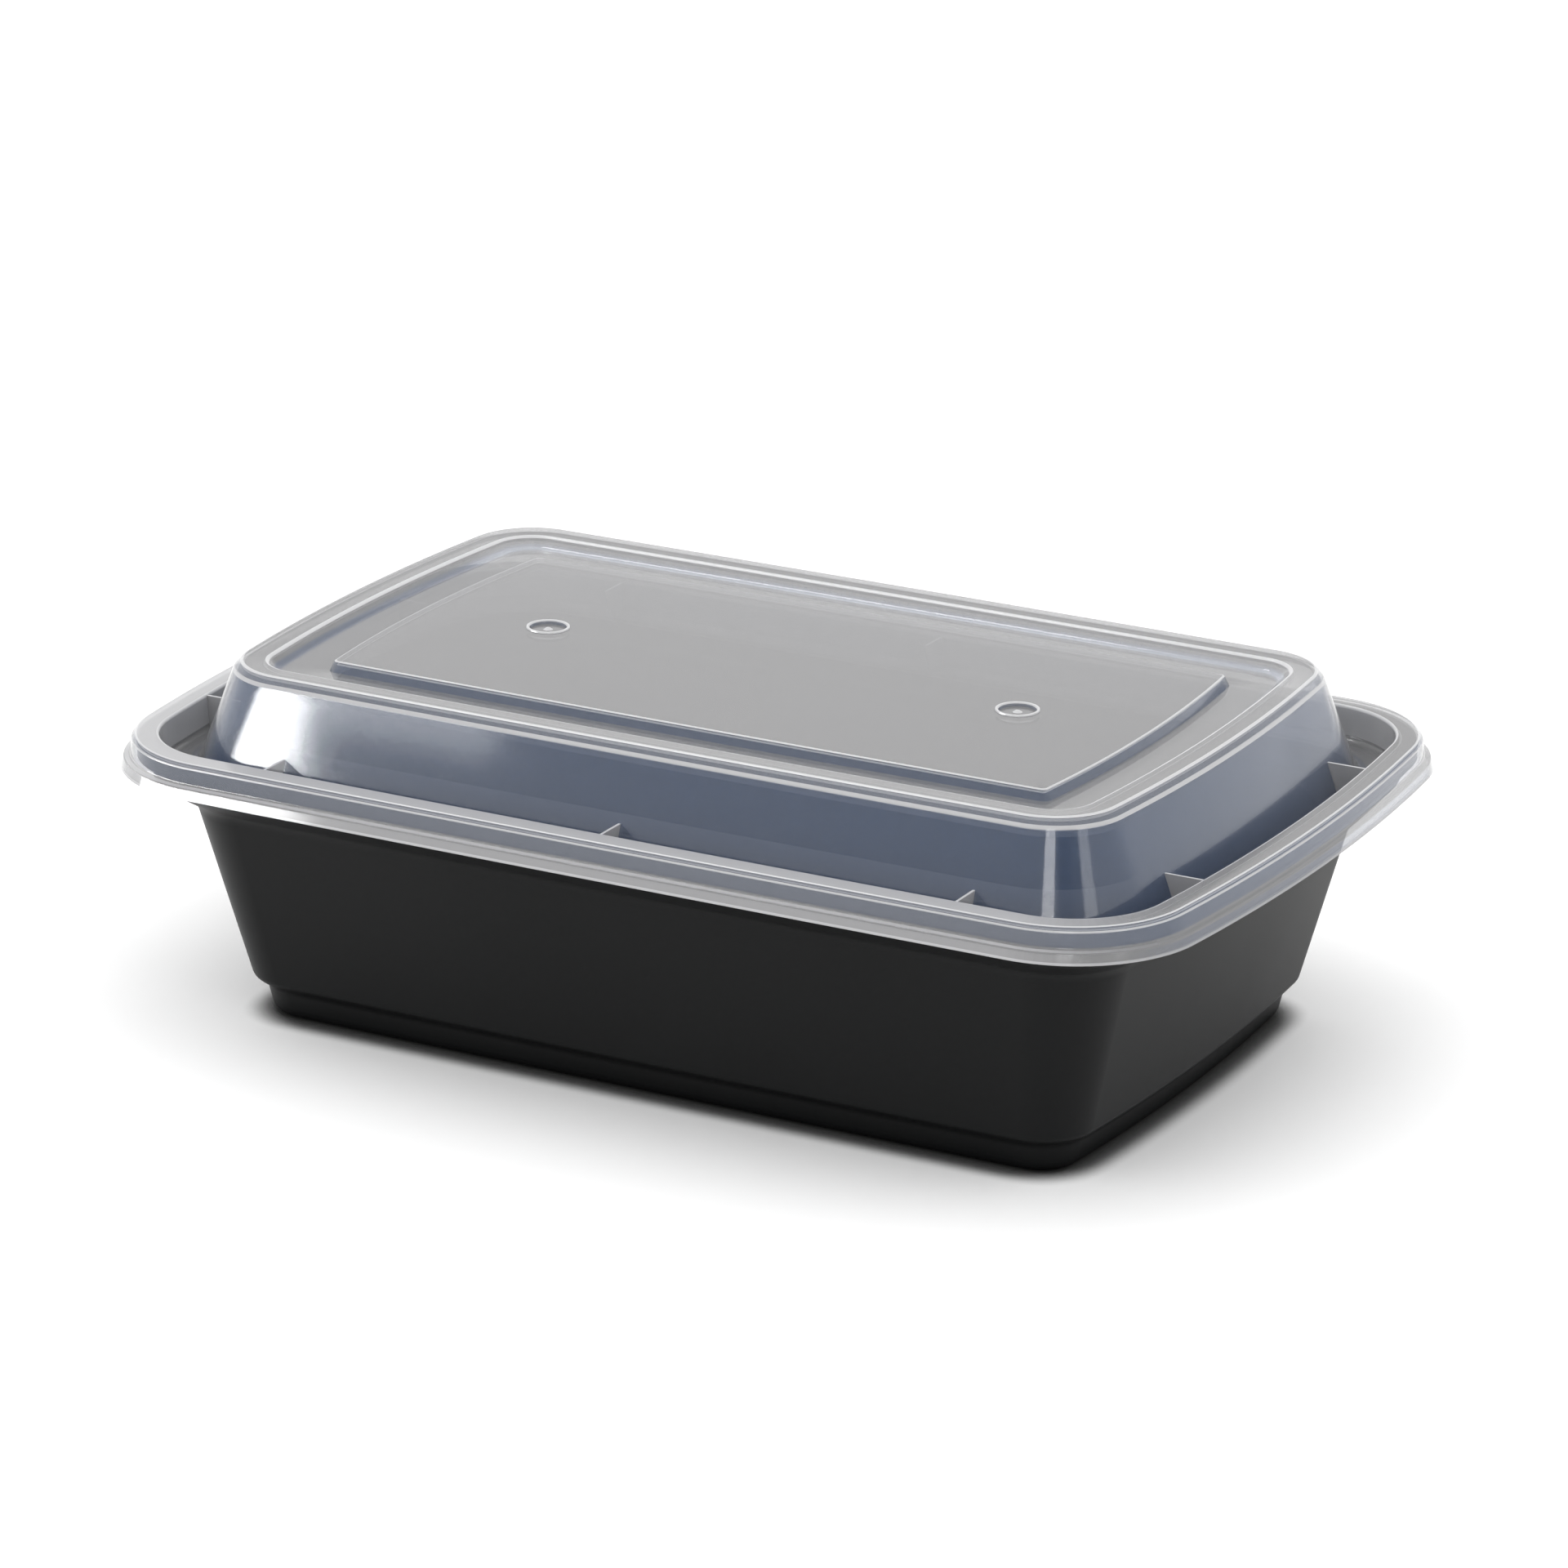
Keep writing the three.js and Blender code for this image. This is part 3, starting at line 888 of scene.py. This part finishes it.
class StudioProperties(bpy.types.PropertyGroup):
    azimuth: FloatProperty(
        name="Azimuth", description="Where the camera stands round the container",
        default=math.radians(28.339), subtype="ANGLE",
    )
    elevation: FloatProperty(
        name="Elevation", description="How high the camera stands",
        default=math.radians(19.051), subtype="ANGLE",
    )
    lens: FloatProperty(
        name="Lens", description="Focal length of the camera in millimetres",
        default=161.54, min=10, max=400,
    )
    sky: FloatProperty(
        name="Sky", description="Brightness of the white surroundings",
        default=1.75, min=0, max=4,
    )
    behind: FloatProperty(
        name="Dimmer behind", description="How much dimmer the sky is behind the container",
        default=0.33, min=0, max=1, subtype="FACTOR",
    )
    front: FloatProperty(
        name="Dimmer in front", description="How much dimmer the sky is in front of the container",
        default=0.3, min=0, max=1, subtype="FACTOR",
    )
    side: FloatProperty(
        name="Dimmer beside", description="How much dimmer the sky is to the right of the container",
        default=0.12, min=0, max=1, subtype="FACTOR",
    )
    patch: FloatProperty(
        name="Dark patch", description="How much dimmer the sky is beside the camera",
        default=0.55, min=0, max=1, subtype="FACTOR",
    )
    # How far the painted contact shadow in the table's colour reaches
    contact: FloatProperty(
        name="Contact shadow", description="How near a thing must be to darken the table under it",
        default=7.5 * MM, min=0, max=0.1, precision=4, unit="LENGTH",
    )
    floor_colour: FloatVectorProperty(
        name="Table colour", description="Colour of the table",
        default=(0.95, 0.95, 0.95), min=0, max=1, size=3, subtype="COLOR",
    )


class MEAL_OT_tray(bpy.types.Operator):
    """Make the black tray"""

    bl_idname = "meal.tray"
    bl_label = "Tray"

    def execute(self, context):
        settings = context.scene.meal_tray
        profile = tray_profile(context.scene.meal_lid.sheet, settings.sheet)
        tray = shell("meal_tray", rounded(profile), rounded(other_face(profile, settings.sheet)))
        smooth(tray)
        dress(tray, black_plastic(settings), "tray")
        return {"FINISHED"}


class MEAL_OT_lid(bpy.types.Operator):
    """Make the see-through lid with its webs and gate marks"""

    bl_idname = "meal.lid"
    bl_label = "Lid"

    def execute(self, context):
        settings = context.scene.meal_lid
        profile = lid_profile()
        lid = shell("meal_lid", rounded(other_face(profile, -settings.sheet)), rounded(profile))
        gates = [Matrix.Translation((x, 0, 0)) for x in (-GATE_SPREAD, GATE_SPREAD)]
        combine(lid, webs(settings.sheet) + [gate_boss(settings.sheet, place) for place in gates], "UNION")
        combine(lid, [gate_recess(place) for place in gates], "DIFFERENCE")
        smooth(lid)
        dress(lid, clear_plastic(settings), "lid")
        return {"FINISHED"}


class MEAL_OT_studio(bpy.types.Operator):
    """Set up the table, the lights and the camera"""

    bl_idname = "meal.studio"
    bl_label = "Studio"

    def execute(self, context):
        settings = context.scene.meal_studio
        self.table(settings)
        self.lights(context, settings)
        self.camera(context, settings)
        return {"FINISHED"}

    def table(self, settings):
        ring = [2 * math.pi * i / FLOOR_SIDES for i in range(FLOOR_SIDES)]
        points = [(FLOOR_RADIUS * math.cos(a), FLOOR_RADIUS * math.sin(a), 0) for a in ring]
        table = solid("table", points, [tuple(range(FLOOR_SIDES))])
        table.data.materials.append(pale_floor(settings))

    def lights(self, context, settings):
        context.scene.world = surroundings(settings)
        for name, box in SOFTBOXES.items():
            softbox(name, box)
        context.scene.view_settings.view_transform = "Standard"
        context.scene.cycles.transparent_max_bounces = 32
        context.scene.cycles.sampling_pattern = "TABULATED_SOBOL"

    def camera(self, context, settings):
        lens = bpy.data.cameras.new("camera")
        lens.sensor_width = SENSOR
        lens.lens = settings.lens
        camera = bpy.data.objects.new("camera", lens)
        context.scene.collection.objects.link(camera)
        camera.matrix_world = camera_pose(settings.azimuth, settings.elevation)
        context.scene.camera = camera


class MEAL_PT_panel(bpy.types.Panel):
    """The container's pieces and the studio"""

    bl_idname = "MEAL_PT_panel"
    bl_label = "Meal container"
    bl_space_type = "VIEW_3D"
    bl_region_type = "UI"
    bl_category = "Meal container"

    def draw(self, context):
        for operator, group in STEPS:
            box = self.layout.box()
            box.operator(operator.bl_idname)
            settings = getattr(context.scene, group)
            for name in settings.__annotations__:
                box.prop(settings, name)


STEPS = ((MEAL_OT_studio, "meal_studio"), (MEAL_OT_tray, "meal_tray"), (MEAL_OT_lid, "meal_lid"))
GROUPS = {"meal_tray": TrayProperties, "meal_lid": LidProperties, "meal_studio": StudioProperties}
CLASSES = (*GROUPS.values(), MEAL_OT_tray, MEAL_OT_lid, MEAL_OT_studio, MEAL_PT_panel)


def register():
    for cls in CLASSES:
        bpy.utils.register_class(cls)
    for name, group in GROUPS.items():
        setattr(bpy.types.Scene, name, PointerProperty(type=group))


def unregister():
    for name in GROUPS:
        delattr(bpy.types.Scene, name)
    for cls in reversed(CLASSES):
        bpy.utils.unregister_class(cls)


def main():
    register()
    bpy.ops.meal.studio()
    bpy.ops.meal.tray()
    bpy.ops.meal.lid()


if __name__ == "__main__":
    main()
